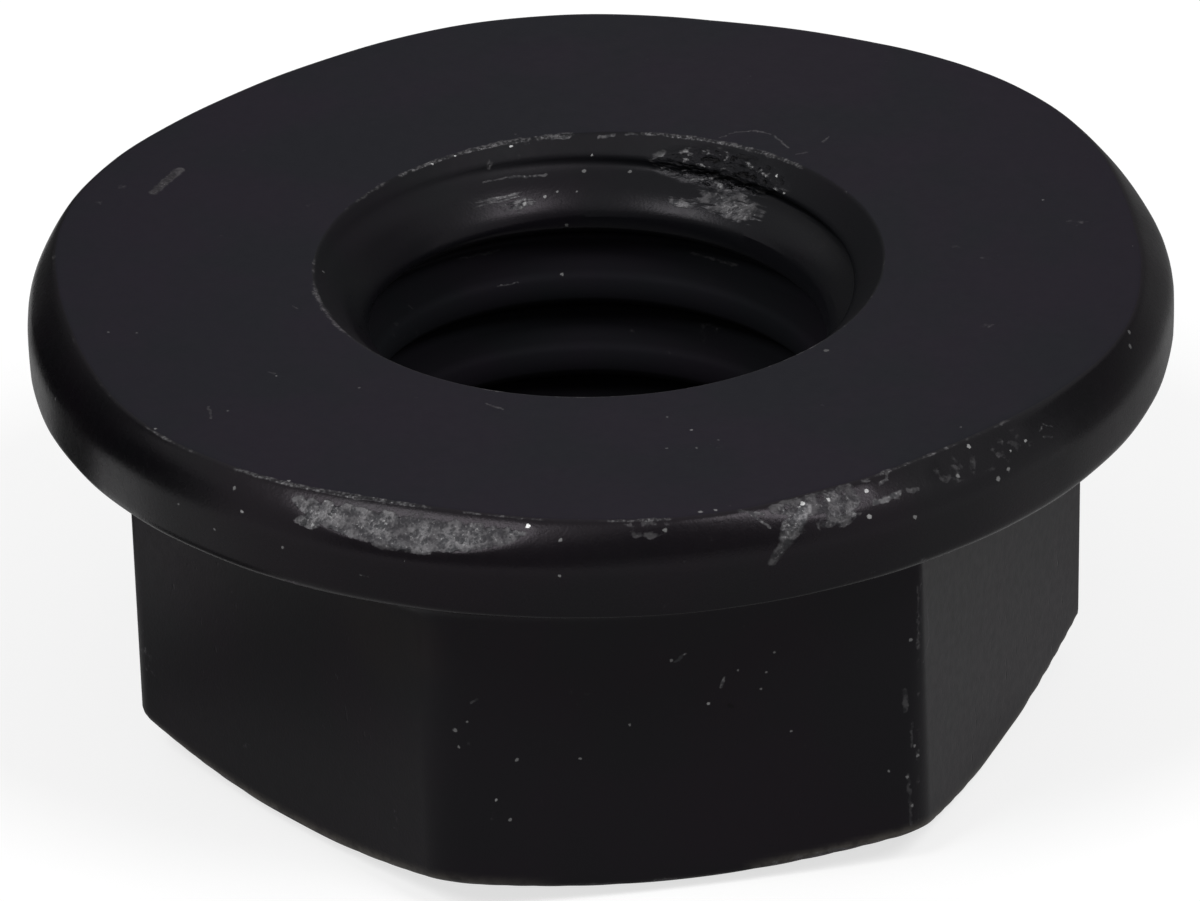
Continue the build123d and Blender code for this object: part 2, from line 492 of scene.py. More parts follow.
# Single marks, under the finish that each is in: the places that it runs from and to, half width, level.
marks = {
    "machinedBlack": (
        ((148, 7.42, 0), (141.6, 7.38, 0), 0.1, 1),
        ((239.3, 4.85, 0), (242.6, 4.95, 0), 0.03, 0.5),
        ((55.1, 4.52, 0), (53.6, 4.78, 0), 0.022, 0.4),
        ((53.6, 4.78, 0), (50.7, 4.93, 0), 0.02, 0.5),
        ((50.7, 4.93, 0), (49.2, 4.95, 0), 0.03, 0.9),
        ((49.2, 4.95, 0), (46.4, 4.93, 0), 0.02, 0.45),
        ((46.4, 4.93, 0), (41.6, 4.72, 0), 0.024, 0.6),
        ((38, 5.2, 0), (38.4, 5.4, 0), 0.03, 0.8),
        ((38.5, 4.64, 0), (37.6, 4.78, 0), 0.026, 0.7),
        ((206.2, 7.4, 0), (208.8, 7.6, 0), 0.03, 0.45),
        ((183.5, 4.83, 0), (184.8, 4.78, 0), 0.02, 0.4),
        ((203, 6.03, 0), (204.2, 6, 0), 0.02, 0.3),
    ),
    "forgedBlack": (
        ((281.6, 8.55, 0.12), (278.8, 8.759, 0.467), 0.14, 1),
        ((278.8, 8.759, 0.467), (277.2, 8.83, 0.78), 0.1, 0.7),
        ((275.6, 8.53, 0.07), (277.2, 8.67, 0.28), 0.035, 0.6),
        ((288.5, 8.36, 0.021), (289.2, 8.38, 0.035), 0.03, 0.7),
        ((290.2, 8.457, 0.102), (291.2, 8.405, 0.063), 0.03, 0.6),
        ((291.2, 8.405, 0.063), (291.9, 8.317, 0.015), 0.022, 0.6),
        ((288.9, 8.635, 0.295), (291.9, 8.61, 0.278), 0.065, 0.85),
        ((292.9, 8.605, 0.276), (294.1, 8.62, 0.295), 0.05, 0.5),
        ((274.4, 8.492, 0.006), (276.8, 8.552, 0.096), 0.035, 0.6),
        ((311, 8.626, 0.269), (312, 8.59, 0.217), 0.02, 0.5),
        ((312, 8.59, 0.217), (312.8, 8.66, 0.3), 0.02, 0.45),
        ((311.2, 8.69, 0.356), (312.2, 8.723, 0.404), 0.025, 0.35),
        ((235.4, 8.823, 1.04), (236.4, 8.823, 1.04), 0.02, 0.45),
        ((269.4, 6.48, 3.56), (270.8, 6.48, 3.44), 0.035, 1),
        ((275.5, 6.49, 4.09), (275.9, 6.5, 3.95), 0.035, 1),
        ((243.3, 7.23, 3.89), (243.9, 7.2, 3.83), 0.033, 0.7),
        ((298.2, 7.33, 4.5), (298.3, 7.32, 4.85), 0.06, 0.6),
        ((299, 7.355, 5.101), (299, 7.34, 5.5), 0.03, 0.5),
        ((298.6, 7.301, 6), (299, 7.28, 6.9), 0.035, 0.45),
        ((299.7, 7.488, 2.701), (299.8, 7.442, 3.701), 0.022, 0.5),
        ((301.8, 7.375, 3.101), (302.4, 7.313, 3.801), 0.02, 0.5),
        ((302.4, 7.313, 3.801), (300.6, 7.414, 4.101), 0.022, 0.5),
    ),
    "threadBlack": (
        # these two are rubbed lines that stand for a painted highlight along the groove's lower edge
        ((106.5, 4.037, 0.416), (100, 4.046, 0.426), 0.022, 0.45),
        ((100, 4.046, 0.426), (91.5, 4.005, 0.474), 0.034, 0.65),
        ((79.9, 4.338, 0.052), (76.8, 4.359, 0.032), 0.032, 0.7),
        ((89.5, 4.35, 0.04), (85.6, 4.354, 0.036), 0.026, 0.6),
        ((74.3, 4.374, 0.02), (72, 4.385, 0.01), 0.03, 0.6),
        ((43.4, 4.2, 0.2), (46.2, 4.137, 0.497), 0.03, 0.9),
        ((57.6, 4.068, 0.536), (53.6, 4.09, 0.456), 0.035, 0.75),
        ((68.4, 4.116, 0.393), (64.4, 4.109, 0.452), 0.018, 0.7),
        ((66, 4.087, 0.487), (60.5, 4.071, 0.511), 0.018, 0.6),
        # these three are rubbed lines that stand for painted highlights on the thread's flanks
        ((113, 4.03, 1.617), (103.1, 4.019, 1.657), 0.026, 0.32),
        ((59.4, 4, 1.819), (48.4, 3.987, 1.864), 0.03, 0.4),
        ((107.5, 3.518, 1.972), (102, 3.515, 1.996), 0.018, 0.4),
    ),
}

# Dark pits in the flats, in the same way.
pits = (
    ((315.6, 6.7, 3.62), (315.8, 6.69, 3.82), 0.06, 1),
    ((310.4, 6.88, 3.85), (310.5, 6.87, 4.02), 0.055, 0.9),
    ((308, 7.02, 2.87), (308.2, 7.01, 2.98), 0.045, 0.8),
    ((321.6, 6.53, 4.72), (321.7, 6.52, 4.9), 0.05, 0.8),
    ((345.5, 6.66, 6.04), (345.7, 6.66, 6.12), 0.05, 0.8),
    ((276.6, 6.51, 4.42), (276.9, 6.51, 4.46), 0.04, 0.9),
)

# Bright specks, under the finish that each is in: how bright, then each one's place and half width.
specks = {
    "machinedBlack": (
        (0.55, ((274.1, 5.75, 0, 0.026), (233.8, 8.26, 0, 0.035), (225.5, 8.34, 0, 0.035),
                (204.8, 6.01, 0, 0.022), (4, 7.07, 0, 0.024), (206.7, 8.45, 0, 0.025),
                (270.5, 8.386, 0, 0.042), (272.1, 8.38, 0, 0.032))),
        (0.25, ((271.4, 5.23, 0, 0.024), (273.5, 6.34, 0, 0.026), (277, 6.19, 0, 0.024),
                (269.5, 6.23, 0, 0.024), (183.7, 7.75, 0, 0.022), (184.9, 7.34, 0, 0.024),
                (216.7, 5.35, 0, 0.03), (303.9, 7.94, 0, 0.024), (208.7, 7.26, 0, 0.022),
                (308.4, 4.65, 0, 0.05))),
    ),
    "forgedBlack": (
        (0.75, ((273.7, 6.47, 4.354, 0.033), (245.7, 7.065, 5.625, 0.027), (221.6, 8.787, 0.5, 0.033),
                (229.9, 8.735, 0.41, 0.035), (287.9, 8.73, 0.435, 0.044), (281.3, 8.48, 0.089, 0.044),
                (284.2, 8.48, 0.12, 0.037), (252.6, 8.45, 0.09, 0.044), (302.2, 8.37, 0.08, 0.037),
                (308.8, 8.63, 0.283, 0.033), (306.5, 8.633, 0.315, 0.027), (188.6, 8.81, 0.617, 0.03))),
        (0.45, ((268.8, 6.48, 3.53, 0.037), (277.9, 6.53, 3.83, 0.027), (262.9, 6.5, 4.57, 0.027),
                (256.1, 6.641, 5.07, 0.027), (242.8, 7.26, 4.21, 0.027), (241.7, 7.29, 4.65, 0.027),
                (241.3, 7.3, 4.36, 0.045), (248.3, 6.941, 4.97, 0.037), (247.2, 6.978, 6, 0.033),
                (281.6, 6.608, 3.91, 0.025), (280.8, 6.583, 4.2, 0.027), (282.8, 6.647, 3.581, 0.027),
                (298.9, 7.407, 3.621, 0.037), (284.7, 6.665, 5.001, 0.027), (299.4, 7.34, 5.52, 0.033),
                (299.9, 7.34, 5.71, 0.035), (298.5, 7.295, 6.041, 0.033), (296.4, 7.172, 5.891, 0.027),
                (299.1, 7.291, 6.56, 0.033), (226.7, 8.834, 0.87, 0.033), (255.9, 8.81, 0.74, 0.03),
                (256, 8.61, 0.23, 0.037), (266.6, 8.607, 0.13, 0.044), (220, 8.65, 0.23, 0.037),
                (303.6, 8.782, 0.575, 0.044), (299.2, 8.62, 0.33, 0.045), (292.9, 8.798, 0.643, 0.037),
                (330.4, 8.63, 0.17, 0.044), (331.9, 8.55, 0.05, 0.037), (305.2, 8.77, 0.51, 0.045),
                (218.1, 8.82, 0.97, 0.031), (213.1, 8.82, 0.79, 0.027), (288.5, 8.488, 0.133, 0.045))),
    ),
    "threadBlack": (
        (0.9, ((98.2, 4.335, 0.055, 0.03), (110.5, 4.375, 0.02, 0.026), (116, 4.37, 0.025, 0.022),
               (38.8, 4.19, 0.2, 0.026), (34.9, 4.05, 0.35, 0.024), (81.4, 4.14, 0.26, 0.024))),
        (0.35, ((83.3, 4.035, 0.479, 0.035), (73.2, 4.041, 0.504, 0.03), (88.6, 3.495, 1.11, 0.035),
                (90.1, 3.551, 1.992, 0.035), (85.4, 3.744, 0.676, 0.022), (93.2, 3.719, 0.69, 0.03),
                (90.1, 3.762, 0.654, 0.026), (166.6, 4.25, 0.14, 0.03), (98.5, 3.667, 0.737, 0.035))),
    ),
}


def rise(value, start, width):
    # 0 up to the start, and 1 from a width further on
    return np.clip((value - start) / width, 0, 1)


def near(distance, width):
    # 1 within half the width, and 0 from one and a half on
    return np.clip(1.5 - distance / width, 0, 1)


def edgeDistances(s, radius, angle, depth):
    height = nutHeight - depth
    hexagon = hexagonRadius(s, angle, height)
    chamferHeight = (hexagon - s["endFaceRadius"]) * math.tan(math.radians(s["chamferAngle"]))
    lowerDepth = s["rimThickness"]
    return {
        "face": np.hypot(radius - rimRadius(s, angle, 0), depth),
        "bore": np.hypot(radius - s["boreEdge"], depth),
        "rim": np.hypot(radius - rimRadius(s, angle, lowerDepth), depth - lowerDepth),
        "corner": np.abs(cornerTurn(angle)) * radius + np.clip(wear["cornerTop"] - depth, 0, None)
                  + np.clip(hexagon - radius, 0, None),
        "end": np.hypot(radius - hexagon, height - chamferHeight),
    }


def edgeWear(s, radius, angle, depth):
    # a rub fades out by the square along its edge
    distances = edgeDistances(s, radius, angle, depth)
    worn = np.zeros(len(radius))
    for edge, (width, share) in wear["edges"].items():
        worn = np.maximum(worn, share * near(distances[edge], width))
    for edge, turn, reach, width, share in wear["rubs"]:
        fade = np.clip(1 - (turnFrom(angle, turn) / math.radians(reach)) ** 2, 0, 1)
        worn = np.maximum(worn, share * fade * near(distances[edge], width))
    return worn


def patchWear(s, points, radius, angle, depth):
    # cover is 1 where all is rubbed and 0 where nothing is, and level says how bright the metal shows there
    cover, level = np.zeros(len(radius)), np.zeros(len(radius))
    for bevel, (first, last, upper, most, shown) in zip(s["bevels"], wear["bevels"]):
        cone = bevelRadius(s, bevel, angle, depth)
        deep = rise(forgedRadius(s, angle, depth) - cone, 0, wear["bevelCut"])
        middle, half = (first + last) / 2, math.radians(last - first) / 2
        ends = rise(half - np.abs(turnFrom(angle, middle)), 0, math.radians(wear["bevelEnds"]))
        share = upper + (most - upper) * rise(depth, *wear["bevelTop"])
        here = share * ends * deep * near(np.abs(radius - cone), wear["bevelNear"])
        cover, level = np.maximum(cover, here), np.where(here > cover, shown, level)
    for turn, far, down, around, across, most, shown in wear["patches"]:
        offset = points - placeOnNut(turn, far, down)
        turn = math.radians(turn)
        along = offset @ np.array([-math.sin(turn), math.cos(turn), 0])
        rest = np.sqrt(np.maximum((offset ** 2).sum(1) - along ** 2, 0))
        here = most * np.clip(wear["patchFlat"] * (1 - (along / around) ** 2 - (rest / across) ** 2), 0, 1)
        cover, level = np.maximum(cover, here), np.where(here > cover, shown, level)
    return cover, level


def paintedEdgeReflectionShare(s, radius, angle, depth):
    # a painted reflection: full at the hexagon's lower edge, falling off by the square up the flats, and
    # fading out along the edge
    up = np.clip(1 - edgeDistances(s, radius, angle, depth)["end"] / wear["paintedEdgeReflectionReach"], 0, 1) ** 2
    along = np.zeros(len(radius))
    for turn, reach, share in wear["paintedEdgeReflection"]:
        along = np.maximum(along, share * (1 - (turnFrom(angle, turn) / math.radians(reach)) ** 4))
    return up * along


def stainShare(points):
    # 1 at the middle of a stain, and falling to 0 around it by the square
    stain = np.zeros(len(points))
    for turn, far, down, reach in wear["stains"]:
        away = ((points - placeOnNut(turn, far, down)) ** 2).sum(1)
        stain = np.maximum(stain, 1 - away / reach ** 2)
    return stain


# Where one finish goes over into another: the radius or depth it starts at, and over how much it does.
zones = {
    "rimRadius": (7.9, 0.3),
    "rimDepth": (2.2, -0.4),
    "boreRadius": (4.45, -0.05),
    "belowFace": (0, 0.04),
    "shinyBore": (0.3, 0.25),
    "deepBore": (1, 0.9),
    "crestRadius": (3.72, -0.2),
    "rootRadius": (3.8, 0.25),
    "faceHeight": 0.01,            # the machined face's cells are this close to the top, and this level
    "faceLevel": 0.98,
    "boreEdge": 0.02,              # the bore's finish starts this far out from its edge
}


def vertexFields():
    points = meshValues(nut.data.vertices, "co", 3).astype(float) / mm
    radius, angle = np.hypot(points[:, 0], points[:, 1]), np.arctan2(points[:, 1], points[:, 0])
    depth = nutHeight - points[:, 2]
    cover, level = patchWear(nutSizes, points, radius, angle, depth)
    below = rise(depth, *zones["belowFace"])
    rim = rise(radius, *zones["rimRadius"]) * below * rise(depth, *zones["rimDepth"])
    bore = rise(radius, *zones["boreRadius"]) * below
    deep = bore * rise(depth, *zones["deepBore"])
    return {
        "edge": edgeWear(nutSizes, radius, angle, depth),
        "cover": cover,
        "level": level,
        # 0 on the machined face and the forged flats, and 1 on the rolled rim and in the bore
        "shine": np.maximum(rim, bore * rise(depth, *zones["shinyBore"])),
        "deep": deep,              # how far down the thread: painted shade there, and a rougher, less glossy surface
        # painted light: paler on the thread's crests and in its roots, deep in the bore
        "paintedLight": 1 + deep * (wear["crestPaintedLight"] * rise(radius, *zones["crestRadius"])
                            + wear["rootPaintedLight"] * rise(radius, *zones["rootRadius"])),
        "paintedEdgeReflection": paintedEdgeReflectionShare(nutSizes, radius, angle, depth),
        "torn": bore * tornShare(nutSizes, angle, depth),
        "stain": stainShare(points),
    }


def storeFields():
    for name, values in vertexFields().items():
        attribute = nut.data.attributes.new(name, "FLOAT", "POINT")
        attribute.data.foreach_set("value", values.astype(np.float32))


def placeOnNut(turn, radius, depth):
    turn = math.radians(turn)
    return np.array([radius * math.cos(turn), radius * math.sin(turn), nutHeight - depth])


# Short ways to add nodes. A Value is a node's output, and a sign between two Values, or a Value and a number,
# adds the math node that does it.


class Value:
    def __init__(self, socket):
        self.socket = socket

    def __add__(self, other):
        return calc("ADD", self, other)

    def __sub__(self, other):
        return calc("SUBTRACT", self, other)

    def __rsub__(self, other):
        return calc("SUBTRACT", other, self)

    def __mul__(self, other):
        return calc("MULTIPLY", self, other)


def plug(socket, value):
    # links a Value to an input, or sets the input to a plain value
    if isinstance(value, Value):
        socket.id_data.links.new(value.socket, socket)
    else:
        socket.default_value = value


def newNode(tree, kind, output, given=(), **settings):
    # adds a node with these settings, plugs in what is given for its inputs, and hands back one output
    node = tree.nodes.new("ShaderNode" + kind)
    for name, setting in settings.items():
        setattr(node, name, setting)
    for name, value in dict(given).items():
        plug(node.inputs[name], value)
    return Value(node.outputs[output])


def treeOf(values):
    # the node tree that the first Value among them is in
    return next(value.socket.id_data for value in values if isinstance(value, Value))


def calc(operation, *values, **settings):
    return newNode(treeOf(values), "Math", 0, enumerate(values), operation=operation, **settings)


def larger(a, b):
    return calc("MAXIMUM", a, b)


def vectorCalc(operation, *values):
    # the result is a number where the operation measures something
    output = "Value" if operation in ("DOT_PRODUCT", "DISTANCE", "LENGTH") else "Vector"
    return newNode(treeOf(values), "VectorMath", output, enumerate(values), operation=operation)


def scaled(vector, scale):
    given = {"Vector": vector, "Scale": scale}
    return newNode(treeOf(given.values()), "VectorMath", "Vector", given, operation="SCALE")


def ramp(value, low, high, first=0.0, last=1.0):
    # from first to last as value goes from low to high, eased at both ends
    given = {"Value": value, "From Min": low, "From Max": high, "To Min": first, "To Max": last}
    return newNode(treeOf([value]), "MapRange", "Result", given, interpolation_type="SMOOTHSTEP")


def noise(place, size, detail, stretch=None, output="Fac"):
    # lumps of that size in millimetres, and longer along an axis by its stretch
    if stretch:
        place = vectorCalc("DIVIDE", place, stretch)
    given = {"Vector": place, "Scale": 1 / size, "Detail": detail}
    return newNode(treeOf([place]), "TexNoise", output, given)


def attribute(tree, name):
    return newNode(tree, "Attribute", "Fac", attribute_name=name)


def mixColour(share, first, second):
    # the colour sockets share their names with the number sockets, so they go by place
    return newNode(treeOf([share]), "Mix", 2, {0: share, 6: first, 7: second}, data_type="RGBA")


def dust(place, spacing, size, share):
    # the middles of that share of the cells, each of its own size, and more of them in places
    tree = treeOf([place])
    distance = newNode(tree, "TexVoronoi", "Distance", {"Vector": place, "Scale": 1 / spacing})
    colour = Value(distance.socket.node.outputs["Color"])
    red, green = (newNode(tree, "SeparateColor", part, {"Color": colour}) for part in ("Red", "Green"))
    gathered = ramp(noise(place, 4 * spacing, 1), 0.4, 0.65, 0.2 * share, 1.6 * share)
    return calc("LESS_THAN", distance, green * (size / spacing)) * calc("LESS_THAN", red, gathered)


def ruffled(place, size, reach):
    # the place, moved about by a share of the reach in lumps of that size
    offset = vectorCalc("SUBTRACT", noise(place, size, 3, output="Color"), (0.5, 0.5, 0.5))
    return vectorCalc("ADD", place, scaled(offset, reach))


def markMask(place, strokes):
    # straight lines from start to end
    mask = 0.0
    for start, end, width, level in strokes:
        start, end = Vector(placeOnNut(*start)), Vector(placeOnNut(*end))
        line = end - start
        fromStart = vectorCalc("SUBTRACT", place, start)
        along = vectorCalc("DOT_PRODUCT", fromStart, line)
        share = calc("DIVIDE", along, line.length_squared, use_clamp=True)
        away = vectorCalc("DISTANCE", fromStart, scaled(line, share))
        mask = larger(mask, ramp(away, width, width / 2, 0.0, level))
    return mask


def speckMask(place, finish):
    # everything within its half width of a place
    mask = 0.0
    for level, spots in specks[finish]:
        nearest = 10.0
        for *spot, size in spots:
            away = vectorCalc("DISTANCE", place, Vector(placeOnNut(*spot)))
            nearest = calc("MINIMUM", nearest, calc("DIVIDE", away, size))
        mask = larger(mask, ramp(nearest, 1.0, 0.6, 0.0, level))
    return mask


# What the three finishes share. A noise has the size of its lumps in millimetres, its detail, and how far it
# is stretched. A ramp has where it starts and ends, and then its values there if they aren't 0 and 1.
steelLook = {
    "grain": (0.045, 2),
    "ragged": (0.16, 5),
    "cloud": (0.4, 2),
    "broken": (1.3, 1),
    "mottle": (2.2, 4),
    "draw": (0.1, 2, (1, 1, 2.6)),      # draw marks run up and down the flats
    "brushed": (0.4, 3, (1, 1, 0.08)),  # rubbed streaks run around the nut
    "shreds": (0.22, 3, (1, 1, 0.35)),
    "markRuffle": (0.12, 0.11),    # the size and the reach of the lumps in the outlines of marks and specks
    "speckRuffle": (0.05, 0.06),
    # rubbed places
    "raggedSwing": 2.2,            # how much ragged lumps move their outlines
    "edgeBroken": (0.55, 1.2),     # the middle and the swing of the noise that breaks the edges into lines
    "edgeRagged": 0.6,
    "edgeRamp": (0.4, 0.9),
    "edgeGrain": (0.42, 0.56, 0.3, 1.0),
    "coverRamp": (0.35, 0.6),
    "coverCloud": (0.35, 0.65, 0.6, 1.1),
    "tornRamp": (0.0, 0.6),
    "shredBright": (0.57, 0.66),
    "shredDark": (0.42, 0.36),
    "rubbedColours": ((0.03, 0.03, 0.032, 1), (0.085, 0.083, 0.086, 1)),
    "rubbedRagged": (0.36, 0.64),
    "rubbedGrain": 0.25,
    "rubbedRoughness": 0.46,
    # bare steel in grains and specks
    "bareColour": (0.3, 0.3, 0.3, 1),
    "bareGrain": (0.62, 0.76, 0.0, 0.4),
    "bareShreds": (0.63, 0.72, 0.0, 0.35),
    "dust": (0.9, 0.022, 0.3),     # single grains: how far apart, how large, and what share of them shows
    "dustLevel": 0.5,
    # oxide
    "tints": ((0.9, 1.0, 0.94, 1), (1.06, 0.98, 1.04, 1)),    # over its colour, from place to place
    "tintRamp": (0.35, 0.65),
    "sheenTints": ((0.97, 0.94, 1.0, 1), (1.0, 0.91, 1.0, 1)),    # over its reflections, likewise
    "sheenRamp": (0.38, 0.62),
    "stainTint": (1.9, 1.6, 1.3),
    # a painted reflection of the floor along the hexagon's lower edge
    "paintedEdgeReflectionColour": (0.16, 0.147, 0.128, 1),
    "paintedEdgeReflectionRagged": (0.3, 0.6, 0.4, 1.0),
    "raggedRoughness": 0.12,
    "deepGloss": 0.015,
    # relief
    "drawRamp": (0.66, 0.8),
    "drawMottle": (0.45, 0.6),
    "pittedGrain": 0.006,
    "pittedRagged": 0.04,
    "shredPits": 0.02,
    "shredRise": 0.06,
}

# Each finish has its oxide's colour, how much of that is left on shiny places and, as painted shade, on deep
# places, its gloss, its roughness on matt, on shiny and on deep places, the depth of its grain and of its
# draw marks in millimetres, and how much lumps and streaks break up its rubbed patches.
finishes = {
    "machinedBlack": {
        "colour": (0.0105, 0.0096, 0.0134, 1), "shinyShade": 1, "deepPaintedShade": 1, "gloss": 0.06,
        "matt": 0.6, "shiny": 0.6, "dirty": 0.6, "grain": 0.0012, "draw": 0,
        "lumps": 0.5, "streaks": 0.5,
    },
    "forgedBlack": {
        "colour": (0.005, 0.0042, 0.0055, 1), "shinyShade": 0.66, "deepPaintedShade": 1, "gloss": 0.134,
        "matt": 0.42, "shiny": 0.27, "dirty": 0.3, "grain": 0.0022, "draw": 0.006,
        "lumps": 0.7, "streaks": 0.3,
    },
    "threadBlack": {
        "colour": (0.0045, 0.0043, 0.0054, 1), "shinyShade": 1, "deepPaintedShade": 0.62, "gloss": 0.1,
        "matt": 0.55, "shiny": 0.29, "dirty": 0.6, "grain": 0.002, "draw": 0,
        "lumps": 0.3, "streaks": 1.6,
    },
}


def makeBlackSteel(name):
    look, finish = steelLook, finishes[name]
    material = bpy.data.materials.new(name)
    material.use_nodes = True
    tree = material.node_tree
    place = scaled(newNode(tree, "TexCoord", "Object"), 1 / mm)
    shine, deep = attribute(tree, "shine"), attribute(tree, "deep")
    grain, ragged, cloud, mottle, brushed = (noise(place, *look[part])
                                             for part in ("grain", "ragged", "cloud", "mottle", "brushed"))
    grainOff = (grain - 0.5) * 2.0
    raggedOff = ragged - 0.5
    waver = raggedOff * look["raggedSwing"]

    # rubbed places: broken lines along the edges, and patches broken up by lumps and streaks
    middle, swing = look["edgeBroken"]
    broken = (noise(place, *look["broken"]) - middle) * swing + (cloud - 0.5) + waver * look["edgeRagged"]
    edges = ramp(attribute(tree, "edge") + broken, *look["edgeRamp"]) * ramp(grain, *look["edgeGrain"])
    broken = (brushed - 0.5) * finish["streaks"] + waver * finish["lumps"]
    patches = ramp(attribute(tree, "cover") + broken, *look["coverRamp"])
    worn = larger(edges, patches * (attribute(tree, "level") * ramp(cloud, *look["coverCloud"])))
    dark = 0.0
    if name == "threadBlack":
        # shreds that stand up bright between dark pits
        torn = ramp(attribute(tree, "torn"), *look["tornRamp"])
        shreds = noise(place, *look["shreds"])
        worn = larger(worn, torn * ramp(shreds, *look["shredBright"]))
        dark = torn * ramp(shreds, *look["shredDark"])
    # single marks and pits, and bare steel in single grains, in specks and in the grain of rubbed places
    loose = ruffled(place, *look["markRuffle"])
    rubbed = larger(worn, markMask(loose, marks[name]))
    if name == "forgedBlack":
        dark = markMask(loose, pits)
    bare = dust(place, *look["dust"]) * look["dustLevel"]
    bare = larger(bare, speckMask(ruffled(place, *look["speckRuffle"]), name))
    bare = larger(bare, rubbed * ramp(grain, *look["bareGrain"]))
    if name == "threadBlack":
        bare = larger(bare, torn * ramp(shreds, *look["bareShreds"]))

    tint = mixColour(ramp(mottle, *look["tintRamp"]), *look["tints"])
    tint = mixColour(attribute(tree, "stain"), tint, vectorCalc("MULTIPLY", tint, look["stainTint"]))
    # darker on deep places as painted shade, and paler on the thread's crests and roots as painted light
    shade = ramp(shine, 0.0, 1.0, 1.0, finish["shinyShade"]) * ramp(deep, 0.0, 1.0, 1.0, finish["deepPaintedShade"])
    shade = shade * (1.0 - dark) * attribute(tree, "paintedLight")
    oxide = scaled(vectorCalc("MULTIPLY", tint, finish["colour"][:3]), shade)
    # a painted reflection of the floor along the hexagon's lower edge, mixed into the oxide's colour
    paintedEdgeReflection = attribute(tree, "paintedEdgeReflection") * ramp(ragged, *look["paintedEdgeReflectionRagged"])
    oxide = mixColour(paintedEdgeReflection, oxide, look["paintedEdgeReflectionColour"])
    metal = ramp(ragged + grainOff * look["rubbedGrain"], *look["rubbedRagged"])
    colour = mixColour(rubbed, oxide, mixColour(metal, *look["rubbedColours"]))
    roughness = ramp(deep, 0.0, 1.0, ramp(shine, 0.0, 1.0, finish["matt"], finish["shiny"]), finish["dirty"])
    roughness = roughness + raggedOff * look["raggedRoughness"]
    gloss = finish["gloss"]
    # down in the thread the gloss falls too, so that the thread darkens along with the painted shade
    if name == "threadBlack":
        gloss = ramp(deep, 0.0, 1.0, gloss, look["deepGloss"])

    # relief: grain everywhere, short draw marks on the flats, and rubbed places lie lower and are pitted
    draw = ramp(noise(place, *look["draw"]), *look["drawRamp"])
    draw = draw * ramp(mottle, *look["drawMottle"]) * (1.0 - shine)
    pitted = grainOff * look["pittedGrain"] + raggedOff * look["pittedRagged"]
    relief = grain * finish["grain"] - draw * finish["draw"] - worn * pitted
    if name == "threadBlack":
        relief = relief - dark * look["shredPits"] + torn * (shreds * look["shredRise"])
    given = {"Height": relief, "Distance": mm, "Strength": 1.0}

    for socket, value in (
            ("Base Color", mixColour(bare, colour, look["bareColour"])),
            ("Metallic", larger(rubbed, bare)),
            ("Roughness", ramp(rubbed, 0.0, 0.5, roughness, look["rubbedRoughness"])),
            ("Specular IOR Level", gloss),
            ("Specular Tint", mixColour(ramp(mottle, *look["sheenRamp"]), *look["sheenTints"])),
            ("Normal", newNode(tree, "Bump", "Normal", given))):
        plug(tree.nodes["Principled BSDF"].inputs[socket], value)
    return material


def meshValues(items, name, width):
    values = np.zeros(len(items) * width, np.float32)
    items.foreach_get(name, values)
    return values.reshape(-1, width)


def assignFinishes():
    # the flat bearing face is machined, the bore is cut, and the rest is as forged
    mesh = nut.data
    for name in finishes:
        mesh.materials.append(makeBlackSteel(name))
    x, y, z = meshValues(mesh.polygons, "center", 3).T / mm
    up = meshValues(mesh.polygons, "normal", 3)[:, 2]
    face = (z > nutHeight - zones["faceHeight"]) & (up > zones["faceLevel"])
    bore = np.hypot(x, y) < nutSizes["boreEdge"] + zones["boreEdge"]
    number = np.where(face & ~bore, 0, np.where(bore, 2, 1))
    mesh.polygons.foreach_set("material_index", number.astype(np.int32))


nut = makeNut()
storeFields()
assignFinishes()
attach(nut, "root")
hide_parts("flange_nut")
print(f"finish: {len(finishes)} finishes, {len(wear['patches']) + len(wear['bevels'])} rubbed patches")


